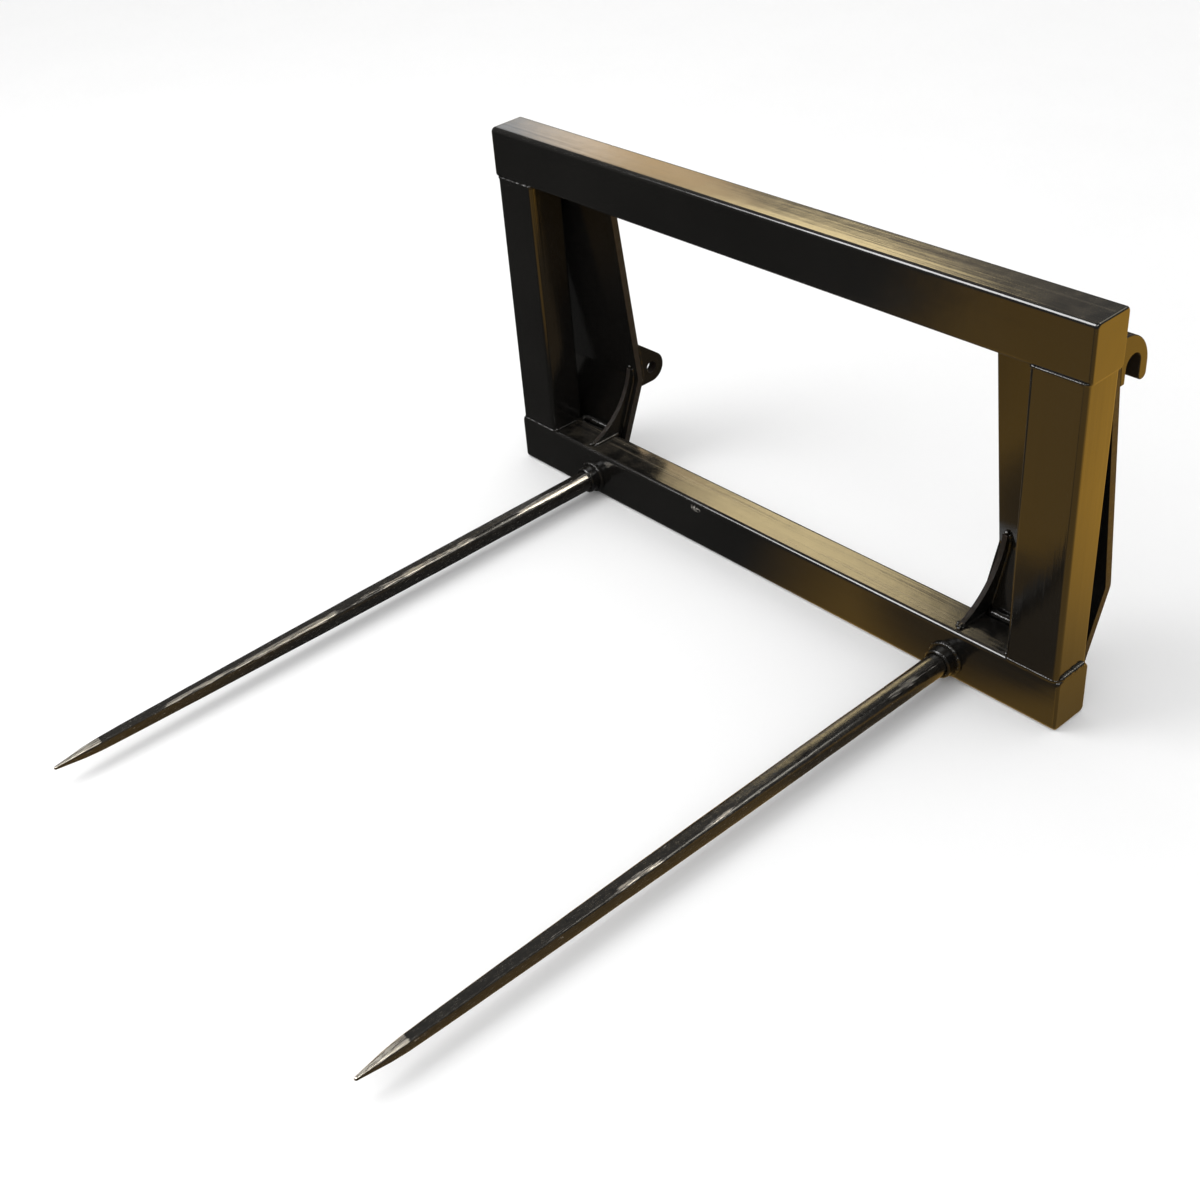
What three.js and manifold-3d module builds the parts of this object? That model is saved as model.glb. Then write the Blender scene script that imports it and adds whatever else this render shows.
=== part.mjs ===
// Two-tine bale spike for a front loader. Millimetres, +Z up, tines point along -Y.
// Left and right are as seen from the tine side, facing the frame: +X is right.
import * as THREE from 'three';
import { mergeVertices } from 'three/addons/utils/BufferGeometryUtils.js';
import Module from 'manifold-3d';

// Driving dimensions.
const frameWidth = 1340;
const frameHeight = 740;
const tubeHeight = 100;
const tubeDepth = 80;
const tubeWall = 5;
const tubeCornerRadius = 9;
const capThickness = 5;
const uprightWidth = 100;
const uprightInset = 5;
const tineReach = 1250;
const tineSpacing = 900;
const tineHeight = 37;
const hitchPlateWidth = 205;
const hitchPlateThickness = 15;
const hitchPlateBulge = 57;
const hitchPlateApexHeight = 207;
const hitchPlateOuterInset = 20;
const hitchPlateTopMargin = 28;
const hitchPlateBottomMargin = 62;
const hitchPlateBendRadius = 21;
const gussetThickness = 10;
const gussetEdgeInset = 12;
const gussetArcRadius = 160;
const gussetToeAngle = -72.6;
const gussetTopAngle = -9;
const gussetToeHeight = 4;
const gussetTopLand = 2;
const lugThickness = 20;
const lugEdgeInset = 3;
const lugHoleRadius = 13;
const lugHoleHeight = 219;
const lugHoleStandoff = 27.5;
const lugEndRadius = 32;
const lugRootTopHeight = 286;
const hookThickness = 25;
const hookThroatRadius = 18;
const hookThroatStandoff = 31;
const hookThroatDrop = 126;
const hookTipWidth = 20;
const hookTipDrop = 36;
const hookOuterRadius = 65;
const hookCrownDrop = 10;
const sleeveRadius = 27;
const sleeveFrontReach = 25;
const sleeveRearReach = 6;
const sleeveMouthRadius = 22;
const sleeveTailRadius = 15;
const threadRadius = 14;
const threadTail = 7;
const washerRadius = 25;
const washerThickness = 4;
const nutAcrossFlats = 41;
const nutHeight = 22;

// Named clearances.
const weldGap = 0.3;
const taperClearance = 0.3;
const threadClearance = 0.4;
const notchClearance = 11;

// Derived positions.
const windowBottom = tubeHeight;
const windowTop = frameHeight - tubeHeight;
const uprightCentreX = frameWidth / 2 - uprightInset - uprightWidth / 2;
const hitchOuterX = frameWidth / 2 - hitchPlateOuterInset;
const hitchInnerX = hitchOuterX - hitchPlateWidth;
const hitchCentreX = (hitchOuterX + hitchInnerX) / 2;
const tineX = tineSpacing / 2;
const gussetCentreX = hitchInnerX + gussetEdgeInset + gussetThickness / 2;
const lugCentreX = hitchInnerX + lugEdgeInset + lugThickness / 2;
const hookCentreX = hitchOuterX - hookThickness / 2;
const sleeveRearY = tubeDepth + sleeveRearReach;
const washerFrontY = sleeveRearY + weldGap;
const nutFrontY = washerFrontY + washerThickness + weldGap;
const tineTailY = nutFrontY + nutHeight + threadTail;

const wasm = await Module();
wasm.setup();

// Closed solid for joining and cutting, from any closed three.js geometry.
function toSolid(geometry) {
  const plain = geometry.clone();
  plain.deleteAttribute('normal');
  plain.deleteAttribute('uv');
  const welded = mergeVertices(plain, 1e-4);
  const vertProperties = new Float32Array(welded.attributes.position.array);
  const triVerts = new Uint32Array(welded.index.array);
  return new wasm.Manifold(new wasm.Mesh({ numProp: 3, vertProperties, triVerts }));
}

function toGeometry(solid) {
  const mesh = solid.getMesh();
  const geometry = new THREE.BufferGeometry();
  const positions = new Float32Array(mesh.vertProperties);
  geometry.setAttribute('position', new THREE.BufferAttribute(positions, 3));
  geometry.setIndex(new THREE.BufferAttribute(new Uint32Array(mesh.triVerts), 1));
  geometry.computeVertexNormals();
  return geometry;
}

// Turns a profile drawn as (rearward, up) and extruded along its own z into a plate spread along X.
const profileToSide = new THREE.Matrix4().makeBasis(
  new THREE.Vector3(0, 1, 0),
  new THREE.Vector3(0, 0, 1),
  new THREE.Vector3(1, 0, 0),
);

function extrudeAlongX(shape, thickness, curveSegments = 12) {
  const settings = { depth: thickness, bevelEnabled: false, curveSegments };
  const geometry = new THREE.ExtrudeGeometry(shape, settings);
  geometry.translate(0, 0, -thickness / 2);
  geometry.applyMatrix4(profileToSide);
  return geometry;
}

function roundedRectangle(outline, width, height, radius) {
  const right = width / 2 - radius;
  const top = height / 2 - radius;
  outline.moveTo(-right, -height / 2);
  outline.lineTo(right, -height / 2);
  outline.absarc(right, -top, radius, -Math.PI / 2, 0, false);
  outline.lineTo(width / 2, top);
  outline.absarc(right, top, radius, 0, Math.PI / 2, false);
  outline.lineTo(-right, height / 2);
  outline.absarc(-right, top, radius, Math.PI / 2, Math.PI, false);
  outline.lineTo(-width / 2, -top);
  outline.absarc(-right, -top, radius, Math.PI, Math.PI * 1.5, false);
  return outline;
}

function tubeSection(width, height) {
  const section = roundedRectangle(new THREE.Shape(), width, height, tubeCornerRadius);
  const innerRadius = tubeCornerRadius - tubeWall;
  const innerWidth = width - 2 * tubeWall;
  const innerHeight = height - 2 * tubeWall;
  section.holes.push(roundedRectangle(new THREE.Path(), innerWidth, innerHeight, innerRadius));
  return section;
}

// Middle line of the bent hitch plate as [rearward, up], from its top end to its bottom end.
function hitchMiddleLine() {
  const topHeight = frameHeight - hitchPlateTopMargin;
  const apex = new THREE.Vector2(tubeDepth + hitchPlateBulge + hitchPlateThickness / 2, hitchPlateApexHeight);
  const endAt = (height) => {
    const end = new THREE.Vector2(tubeDepth + weldGap, height);
    const slope = Math.atan2(apex.x - hitchPlateThickness / 2 - end.x, Math.abs(height - apex.y));
    end.x += (hitchPlateThickness / 2) * Math.cos(slope);
    return end;
  };
  const top = endAt(topHeight);
  const bottom = endAt(hitchPlateBottomMargin);
  const upward = top.clone().sub(apex).normalize();
  const downward = bottom.clone().sub(apex).normalize();
  const halfAngle = Math.acos(upward.dot(downward)) / 2;
  const setback = hitchPlateBendRadius / Math.tan(halfAngle);
  const inward = upward.clone().add(downward).normalize();
  const centre = apex.clone().add(inward.multiplyScalar(hitchPlateBendRadius / Math.sin(halfAngle)));
  const arcStart = apex.clone().add(upward.clone().multiplyScalar(setback)).sub(centre);
  const arcEnd = apex.clone().add(downward.clone().multiplyScalar(setback)).sub(centre);
  const startAngle = arcStart.angle();
  const turn = arcStart.angleTo(arcEnd);
  const line = [top];
  const steps = 6;
  for (let step = 0; step <= steps; step += 1) {
    const angle = startAngle - (turn * step) / steps;
    const reach = new THREE.Vector2(Math.cos(angle), Math.sin(angle)).multiplyScalar(hitchPlateBendRadius);
    line.push(centre.clone().add(reach));
  }
  line.push(bottom);
  return line;
}

// The hitch plate's middle line moved rearward (positive) or forward (negative) along its normals.
function hitchLineMovedBy(offset) {
  const line = hitchMiddleLine();
  return line.map((point, index) => {
    const before = line[Math.max(index - 1, 0)];
    const after = line[Math.min(index + 1, line.length - 1)];
    const along = after.clone().sub(before).normalize();
    const isInner = index > 0 && index < line.length - 1;
    const first = point.clone().sub(before).normalize();
    const cosine = isInner ? first.dot(along) : 1;
    const normal = new THREE.Vector2(-along.y, along.x);
    return point.clone().add(normal.multiplyScalar(offset / cosine));
  });
}

// Where a moved hitch line stands at a given height.
function hitchDepthAt(offset, height) {
  const line = hitchLineMovedBy(offset);
  const last = line.length - 1;
  let index = 1;
  while (index < last && line[index].y > height) {
    index += 1;
  }
  const above = line[index - 1];
  const below = line[index];
  const share = (above.y - height) / (above.y - below.y);
  return above.x + (below.x - above.x) * share;
}

// Stretch of a moved hitch line between two heights, top first, ends included.
function hitchStretch(offset, fromHeight, toHeight) {
  const between = hitchLineMovedBy(offset).filter((point) => point.y < fromHeight && point.y > toHeight);
  const start = new THREE.Vector2(hitchDepthAt(offset, fromHeight), fromHeight);
  const end = new THREE.Vector2(hitchDepthAt(offset, toHeight), toHeight);
  return [start, ...between, end];
}

function arcPoints(centre, radius, fromAngle, toAngle, steps) {
  const points = [];
  for (let step = 0; step <= steps; step += 1) {
    const angle = fromAngle + ((toAngle - fromAngle) * step) / steps;
    points.push(new THREE.Vector2(centre.x + radius * Math.cos(angle), centre.y + radius * Math.sin(angle)));
  }
  return points;
}

function blackEnamel(name) {
  const settings = { color: 0x0f0e0c, roughness: 0.3, metalness: 0.0 };
  const material = new THREE.MeshStandardMaterial(settings);
  material.name = name;
  return material;
}

function forgedSteel(name) {
  const settings = { color: 0x2a2826, roughness: 0.38, metalness: 0.75 };
  const material = new THREE.MeshStandardMaterial(settings);
  material.name = name;
  return material;
}

function platedSteel(name) {
  const settings = { color: 0x8d8b84, roughness: 0.42, metalness: 0.85 };
  const material = new THREE.MeshStandardMaterial(settings);
  material.name = name;
  return material;
}

function namedMesh(name, geometry, makeMaterial) {
  const mesh = new THREE.Mesh(geometry, makeMaterial(name));
  mesh.name = name;
  return mesh;
}

const beamTubeLength = frameWidth - 2 * (capThickness + weldGap);

function makeTopBeam() {
  const geometry = extrudeAlongX(tubeSection(tubeDepth, tubeHeight), beamTubeLength);
  const beam = namedMesh('top_beam', geometry, blackEnamel);
  beam.position.set(0, tubeDepth / 2, frameHeight - tubeHeight / 2);
  return beam;
}

// The bottom beam has a through hole for each tine sleeve, front wall to rear wall.
function makeBottomBeam() {
  let solid = toSolid(extrudeAlongX(tubeSection(tubeDepth, tubeHeight), beamTubeLength));
  for (const side of [-1, 1]) {
    const drill = new THREE.CylinderGeometry(sleeveRadius + weldGap, sleeveRadius + weldGap, tubeDepth * 2, 48);
    drill.translate(side * tineX, 0, tineHeight - tubeHeight / 2);
    solid = solid.subtract(toSolid(drill));
  }
  const beam = namedMesh('bottom_beam', toGeometry(solid), blackEnamel);
  beam.position.set(0, tubeDepth / 2, tubeHeight / 2);
  return beam;
}

function makeBeamCap(name, side, beamCentreHeight) {
  const outline = roundedRectangle(new THREE.Shape(), tubeDepth, tubeHeight, tubeCornerRadius);
  const cap = namedMesh(name, extrudeAlongX(outline, capThickness), blackEnamel);
  cap.position.set(side * (frameWidth / 2 - capThickness / 2), tubeDepth / 2, beamCentreHeight);
  return cap;
}

function makeUpright(name, side) {
  const height = windowTop - windowBottom - 2 * weldGap;
  const settings = { depth: height, bevelEnabled: false, curveSegments: 12 };
  const geometry = new THREE.ExtrudeGeometry(tubeSection(uprightWidth, tubeDepth), settings);
  const upright = namedMesh(name, geometry, blackEnamel);
  upright.position.set(side * uprightCentreX, tubeDepth / 2, windowBottom + weldGap);
  return upright;
}

// Bent backing plate behind both beams, notched at its lower inner corner to clear the tine nut.
function makeHitchPlate(name, side) {
  const rear = hitchLineMovedBy(hitchPlateThickness / 2);
  const front = hitchLineMovedBy(-hitchPlateThickness / 2);
  const profile = new THREE.Shape([...rear, ...front.reverse()]);
  const blank = extrudeAlongX(profile, hitchPlateWidth);
  const notchRadius = washerRadius + notchClearance;
  const notch = new THREE.CylinderGeometry(notchRadius, notchRadius, tubeDepth * 4, 48);
  notch.translate(side * (tineX - hitchCentreX), tubeDepth, tineHeight);
  const solid = toSolid(blank).subtract(toSolid(notch));
  const plate = namedMesh(name, toGeometry(solid), blackEnamel);
  plate.position.set(side * hitchCentreX, 0, 0);
  return plate;
}

// Gusset with a hollow front edge, from the top of the bottom beam up to the hitch plate.
function makeGusset(name, side) {
  const frontFace = -hitchPlateThickness / 2 - weldGap;
  const toeAngle = THREE.MathUtils.degToRad(gussetToeAngle);
  const arcTop = tubeHeight + weldGap + gussetToeHeight - gussetArcRadius * Math.sin(toeAngle);
  const arcCentre = new THREE.Vector2(
    hitchDepthAt(frontFace, arcTop) - gussetArcRadius - gussetTopLand,
    arcTop,
  );
  const topAngle = THREE.MathUtils.degToRad(gussetTopAngle);
  const gussetTop = arcTop + gussetArcRadius * Math.sin(topAngle);
  const arc = arcPoints(arcCentre, gussetArcRadius, toeAngle, topAngle, 20);
  const heelHeight = tineHeight + washerRadius + notchClearance + weldGap * 10;
  const rearEdge = hitchStretch(frontFace, gussetTop, heelHeight);
  const beamRear = tubeDepth + weldGap;
  const beamTop = tubeHeight + weldGap;
  const outline = new THREE.Shape([
    new THREE.Vector2(arc[0].x, beamTop),
    ...arc,
    ...rearEdge,
    new THREE.Vector2(beamRear, heelHeight),
    new THREE.Vector2(beamRear, beamTop),
  ]);
  const gusset = namedMesh(name, extrudeAlongX(outline, gussetThickness), blackEnamel);
  gusset.position.set(side * gussetCentreX, 0, 0);
  return gusset;
}

// Pin lug on the rear of the hitch plate, at its bend.
function makeLug(name, side) {
  const rootFace = hitchPlateThickness / 2 + weldGap;
  const centre = new THREE.Vector2(hitchDepthAt(rootFace, lugHoleHeight) + lugHoleStandoff, lugHoleHeight);
  const root = hitchStretch(rootFace, lugRootTopHeight, lugHoleHeight - lugEndRadius);
  const toRoot = root[0].clone().sub(centre);
  const tangentAngle = toRoot.angle() - Math.acos(lugEndRadius / toRoot.length());
  const end = arcPoints(centre, lugEndRadius, tangentAngle, -Math.PI / 2, 28);
  const outline = new THREE.Shape([...end, ...root.reverse()]);
  const hole = new THREE.Path();
  hole.absarc(centre.x, centre.y, lugHoleRadius, 0, Math.PI * 2, false);
  outline.holes.push(hole);
  const lug = namedMesh(name, extrudeAlongX(outline, lugThickness, 24), blackEnamel);
  lug.position.set(side * lugCentreX, 0, 0);
  return lug;
}

// Downward-opening hook on the rear of the hitch plate, near its top outer corner.
function makeHook(name, side) {
  const rootFace = hitchPlateThickness / 2 + weldGap;
  const throatHeight = frameHeight - hookThroatDrop;
  const throat = new THREE.Vector2(hitchDepthAt(rootFace, throatHeight) + hookThroatStandoff, throatHeight);
  const tipInnerDepth = throat.x + hookThroatRadius;
  const tipRadius = hookTipWidth / 2;
  const tipCentre = new THREE.Vector2(tipInnerDepth + tipRadius, throatHeight - hookTipDrop + tipRadius);
  const crown = new THREE.Vector2(tipInnerDepth + hookTipWidth - hookOuterRadius, throatHeight - hookCrownDrop);
  const heelHeight = throatHeight - hookTipDrop + tipRadius;
  const crownTop = crown.y + hookOuterRadius;
  const root = hitchStretch(rootFace, crownTop, heelHeight);
  const outline = new THREE.Shape([
    ...arcPoints(crown, hookOuterRadius, Math.PI / 2, 0, 20),
    ...arcPoints(tipCentre, tipRadius, 0, -Math.PI, 14),
    ...arcPoints(throat, hookThroatRadius, 0, Math.PI, 20),
    new THREE.Vector2(throat.x - hookThroatRadius, heelHeight),
    ...root.reverse(),
  ]);
  const hook = namedMesh(name, extrudeAlongX(outline, hookThickness), blackEnamel);
  hook.position.set(side * hookCentreX, 0, 0);
  return hook;
}

// Radius of the sleeve's tapered bore at a given depth behind the frame's front face.
function boreRadiusAt(depth) {
  const share = (depth + sleeveFrontReach) / (sleeveRearY + sleeveFrontReach);
  return sleeveMouthRadius + (sleeveTailRadius - sleeveMouthRadius) * share;
}

function makeSleeve(name, side) {
  const chamfer = 2.5;
  const front = -sleeveFrontReach;
  const profile = [
    new THREE.Vector2(boreRadiusAt(front), front),
    new THREE.Vector2(sleeveRadius - chamfer, front),
    new THREE.Vector2(sleeveRadius, front + chamfer),
    new THREE.Vector2(sleeveRadius, sleeveRearY),
    new THREE.Vector2(boreRadiusAt(sleeveRearY), sleeveRearY),
    new THREE.Vector2(boreRadiusAt(front), front),
  ];
  const sleeve = namedMesh(name, new THREE.LatheGeometry(profile, 48), blackEnamel);
  sleeve.position.set(side * tineX, 0, tineHeight);
  return sleeve;
}

// Forged tine: round taper, then rounded square towards a four-sided ground point.
function makeTine(name, side) {
  const tip = -tineReach;
  const bodyRadii = [
    [0.0, 1.6],
    [0.045, 9.8],
    [0.068, 11.9],
    [0.11, 13.4],
    [0.22, 15.4],
    [0.33, 16.9],
    [0.45, 18.4],
    [0.58, 19.7],
    [0.75, 20.2],
    [0.93, 20.7],
  ];
  const profile = [new THREE.Vector2(0, tip)];
  for (const [share, radius] of bodyRadii) {
    profile.push(new THREE.Vector2(radius, tip + share * tineReach));
  }
  const front = -sleeveFrontReach;
  const taperEnd = sleeveRearY - 6;
  profile.push(new THREE.Vector2(boreRadiusAt(front) - taperClearance, front));
  profile.push(new THREE.Vector2(boreRadiusAt(taperEnd) - taperClearance, taperEnd));
  profile.push(new THREE.Vector2(threadRadius, taperEnd));
  profile.push(new THREE.Vector2(threadRadius, tineTailY - 2));
  profile.push(new THREE.Vector2(threadRadius - 2, tineTailY));
  profile.push(new THREE.Vector2(0, tineTailY));
  let solid = toSolid(new THREE.LatheGeometry(profile, 48));

  const squareLength = tineReach + tineTailY;
  const squareTipHalf = 9.4;
  const squareTailHalf = squareTipHalf + squareLength * 0.0104;
  const body = new THREE.CylinderGeometry(squareTailHalf * Math.SQRT2, squareTipHalf * Math.SQRT2, squareLength + 2, 4);
  body.rotateY(Math.PI / 4);
  body.translate(0, (tineTailY + tip) / 2, 0);
  solid = solid.intersect(toSolid(body));

  const pointLength = 90;
  const pointTipHalf = 1.3;
  const pointSlope = 0.118;
  const pointTailHalf = pointTipHalf + squareLength * pointSlope;
  const point = new THREE.CylinderGeometry(pointTailHalf * Math.SQRT2, pointTipHalf * Math.SQRT2, squareLength, 4);
  point.rotateY(Math.PI / 4);
  point.translate(0, tip + squareLength / 2, 0);
  const keepBehind = new THREE.BoxGeometry(80, squareLength, 80);
  keepBehind.translate(0, tip + pointLength + squareLength / 2, 0);
  solid = solid.intersect(toSolid(point).add(toSolid(keepBehind)));

  const tine = namedMesh(name, toGeometry(solid), forgedSteel);
  tine.position.set(side * tineX, 0, tineHeight);
  return tine;
}

function ringProfile(innerRadius, outerRadius, from, to, chamfer) {
  return [
    new THREE.Vector2(innerRadius, from),
    new THREE.Vector2(outerRadius - chamfer, from),
    new THREE.Vector2(outerRadius, from + chamfer),
    new THREE.Vector2(outerRadius, to - chamfer),
    new THREE.Vector2(outerRadius - chamfer, to),
    new THREE.Vector2(innerRadius, to),
    new THREE.Vector2(innerRadius, from),
  ];
}

function makeWasher(name, side) {
  const innerRadius = threadRadius + threadClearance;
  const profile = ringProfile(innerRadius, washerRadius, washerFrontY, washerFrontY + washerThickness, 0.6);
  const washer = namedMesh(name, new THREE.LatheGeometry(profile, 40), platedSteel);
  washer.position.set(side * tineX, 0, tineHeight);
  return washer;
}

// Hexagon nut with both faces chamfered to a circle.
function makeNut(name, side) {
  const cornerRadius = nutAcrossFlats / Math.sqrt(3);
  const hexagon = new THREE.CylinderGeometry(cornerRadius, cornerRadius, nutHeight, 6);
  hexagon.translate(0, nutFrontY + nutHeight / 2, 0);
  const innerRadius = threadRadius + threadClearance;
  const chamfered = ringProfile(innerRadius, cornerRadius + 0.01, nutFrontY, nutFrontY + nutHeight, 2.2);
  const solid = toSolid(hexagon).intersect(toSolid(new THREE.LatheGeometry(chamfered, 48)));
  const nut = namedMesh(name, toGeometry(solid), platedSteel);
  nut.position.set(side * tineX, 0, tineHeight);
  return nut;
}

function makeHalf(label, side) {
  const half = new THREE.Group();
  half.name = `${label}_half`;
  half.add(makeUpright(`${label}_upright`, side));
  half.add(makeBeamCap(`${label}_top_cap`, side, frameHeight - tubeHeight / 2));
  half.add(makeBeamCap(`${label}_bottom_cap`, side, tubeHeight / 2));
  half.add(makeHitchPlate(`${label}_hitch_plate`, side));
  half.add(makeGusset(`${label}_gusset`, side));
  half.add(makeLug(`${label}_pin_lug`, side));
  half.add(makeHook(`${label}_hook`, side));
  half.add(makeSleeve(`${label}_tine_sleeve`, side));
  half.add(makeTine(`${label}_tine`, side));
  half.add(makeWasher(`${label}_tine_washer`, side));
  half.add(makeNut(`${label}_tine_nut`, side));
  return half;
}

const baleSpike = new THREE.Group();
baleSpike.name = 'bale_spike';
const assembly = new THREE.Group();
assembly.name = 'assembly';
assembly.add(makeTopBeam());
assembly.add(makeBottomBeam());
assembly.add(makeHalf('left', -1));
assembly.add(makeHalf('right', 1));

// The origin is the middle of the overall length, between the tine tips and the rear of the lugs.
const lugRearY = hitchDepthAt(hitchPlateThickness / 2 + weldGap, lugHoleHeight) + lugHoleStandoff + lugEndRadius;
assembly.position.y = (tineReach - lugRearY) / 2;
baleSpike.add(assembly);

export default baleSpike;
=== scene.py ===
"""Looks of the bale spike headstock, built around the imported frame. Metres, +Z up, tines along -Y."""

import math

import bpy
import numpy as np
from mathutils import Matrix, Vector, noise


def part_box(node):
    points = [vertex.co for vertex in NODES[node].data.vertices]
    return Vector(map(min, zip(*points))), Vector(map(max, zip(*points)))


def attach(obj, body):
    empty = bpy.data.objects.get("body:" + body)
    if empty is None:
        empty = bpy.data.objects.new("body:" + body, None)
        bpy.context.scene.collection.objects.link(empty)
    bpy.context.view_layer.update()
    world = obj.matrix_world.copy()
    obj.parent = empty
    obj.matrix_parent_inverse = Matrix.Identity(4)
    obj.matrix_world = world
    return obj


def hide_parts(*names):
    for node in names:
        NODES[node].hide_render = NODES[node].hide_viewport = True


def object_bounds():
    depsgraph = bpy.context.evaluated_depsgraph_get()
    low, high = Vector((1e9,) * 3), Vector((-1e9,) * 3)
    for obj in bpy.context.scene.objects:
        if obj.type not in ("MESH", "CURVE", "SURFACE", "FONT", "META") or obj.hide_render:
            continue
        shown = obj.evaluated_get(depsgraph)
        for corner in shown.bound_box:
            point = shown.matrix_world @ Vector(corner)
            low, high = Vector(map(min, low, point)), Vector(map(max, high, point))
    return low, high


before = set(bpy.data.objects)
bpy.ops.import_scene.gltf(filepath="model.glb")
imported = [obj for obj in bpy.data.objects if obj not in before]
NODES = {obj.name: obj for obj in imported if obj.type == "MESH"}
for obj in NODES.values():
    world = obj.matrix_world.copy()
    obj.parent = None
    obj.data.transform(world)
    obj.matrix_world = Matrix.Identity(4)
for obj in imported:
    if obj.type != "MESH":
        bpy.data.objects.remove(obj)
CAD_LOW, CAD_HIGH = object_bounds()
SIDES = (("left", -1.0), ("right", 1.0))
MM = 0.001

# ---------------------------------------------------------------- camera
CAMERA_AZIMUTH = 0.950824
CAMERA_ELEVATION = 0.596168
CAMERA_ROLL = -0.126247
CAMERA_PLACE = Vector((1.8082, -1.3435, 1.8400))
SENSOR_WIDTH = 36.0
LENS = 49.44
LENS_SHIFT = (0.0792, -0.0342)
CLIP = (0.05, 60.0)


def make_camera():
    data = bpy.data.cameras.new("photo_camera")
    camera = bpy.data.objects.new("photo_camera", data)
    bpy.context.scene.collection.objects.link(camera)
    azimuth, elevation = CAMERA_AZIMUTH, CAMERA_ELEVATION
    back = Vector(
        (
            math.sin(azimuth) * math.cos(elevation),
            -math.cos(azimuth) * math.cos(elevation),
            math.sin(elevation),
        )
    )
    right = Vector((math.cos(azimuth), math.sin(azimuth), 0.0))
    up = back.cross(right)
    roll_cos, roll_sin = math.cos(CAMERA_ROLL), math.sin(CAMERA_ROLL)
    side = roll_cos * right + roll_sin * up
    top = -roll_sin * right + roll_cos * up
    camera.matrix_world = Matrix(
        (
            (side.x, top.x, back.x, CAMERA_PLACE.x),
            (side.y, top.y, back.y, CAMERA_PLACE.y),
            (side.z, top.z, back.z, CAMERA_PLACE.z),
            (0.0, 0.0, 0.0, 1.0),
        )
    )
    data.sensor_width = SENSOR_WIDTH
    data.lens = LENS
    data.shift_x, data.shift_y = LENS_SHIFT
    data.clip_start, data.clip_end = CLIP
    bpy.context.scene.camera = camera


# ---------------------------------------------------------------- node helpers
class Tree:
    """Short names for making and linking shader nodes."""

    def __init__(self, tree):
        self.tree = tree

    def add(self, kind, **settings):
        node = self.tree.nodes.new(kind)
        for key, value in settings.items():
            setattr(node, key, value)
        return node

    def link(self, out, into):
        self.tree.links.new(out, into)

    def math(self, operation, first, second=None, clamp=False):
        node = self.add("ShaderNodeMath", operation=operation, use_clamp=clamp)
        for socket, value in zip(node.inputs, (first, second)):
            if value is None:
                continue
            if isinstance(value, (int, float)):
                socket.default_value = value
            else:
                self.link(value, socket)
        return node.outputs[0]

    def ramp(self, value, low, high, to_low=0.0, to_high=1.0, smooth=True):
        node = self.add("ShaderNodeMapRange")
        node.interpolation_type = "SMOOTHSTEP" if smooth else "LINEAR"
        node.inputs[1].default_value = low
        node.inputs[2].default_value = high
        node.inputs[3].default_value = to_low
        node.inputs[4].default_value = to_high
        self.link(value, node.inputs[0])
        return node.outputs[0]

    def noise(self, vector, scale, detail=2.0, roughness=0.5):
        node = self.add("ShaderNodeTexNoise")
        node.inputs["Scale"].default_value = scale
        node.inputs["Detail"].default_value = detail
        node.inputs["Roughness"].default_value = roughness
        self.link(vector, node.inputs["Vector"])
        return node.outputs[0]

    def stretched(self, vector, scale):
        node = self.add("ShaderNodeMapping")
        node.inputs["Scale"].default_value = scale
        self.link(vector, node.inputs["Vector"])
        return node.outputs[0]

    def mix(self, factor, first, second):
        node = self.add("ShaderNodeMix", data_type="RGBA")
        self.link(factor, node.inputs[0])
        for socket, value in ((node.inputs[6], first), (node.inputs[7], second)):
            if isinstance(value, tuple):
                socket.default_value = (*value, 1.0)
            else:
                self.link(value, socket)
        return node.outputs[2]

    def mix_value(self, factor, first, second):
        node = self.add("ShaderNodeMix", data_type="FLOAT")
        self.link(factor, node.inputs[0])
        for socket, value in ((node.inputs[2], first), (node.inputs[3], second)):
            if isinstance(value, (int, float)):
                socket.default_value = value
            else:
                self.link(value, socket)
        return node.outputs[0]

    def bump(self, height, distance, strength, normal=None):
        node = self.add("ShaderNodeBump")
        node.inputs["Strength"].default_value = strength
        node.inputs["Distance"].default_value = distance
        self.link(height, node.inputs["Height"])
        if normal is not None:
            self.link(normal, node.inputs["Normal"])
        return node.outputs[0]


def new_material(name):
    material = bpy.data.materials.new(name)
    material.use_nodes = True
    material.node_tree.nodes.clear()
    tree = Tree(material.node_tree)
    output = tree.add("ShaderNodeOutputMaterial")
    shader = tree.add("ShaderNodeBsdfPrincipled")
    tree.link(shader.outputs[0], output.inputs[0])
    return material, tree, shader


def object_place(tree):
    return tree.add("ShaderNodeTexCoord").outputs["Object"]


ENAMEL_BLACK = (0.0050, 0.0047, 0.0042)
DUST = (0.17, 0.145, 0.105)
PRIMER = (0.33, 0.31, 0.28)
CUT_DARK = (0.0040, 0.0034, 0.0030)
CUT_BROWN = (0.013, 0.0080, 0.0050)
BARE_STEEL = (0.56, 0.53, 0.48)
DULL_STEEL = (0.30, 0.275, 0.24)
TINE_PAINT_DARK = (0.006, 0.0055, 0.005)
TINE_PAINT_FADED = (0.016, 0.0145, 0.012)
ZINC_DARK = (0.36, 0.35, 0.32)
ZINC_LIGHT = (0.58, 0.57, 0.53)

PAINT_IOR = 1.5
# Noise scales of the enamel, in cycles a metre.
SHADE_SCALE = 5.0
CLOUD_SCALE = 26.0
WAVE_SCALE = 34.0
SCUFF_SCALE = 260.0
PEEL_SCALE = 420.0
SPECK_SCALE = 900.0


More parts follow.
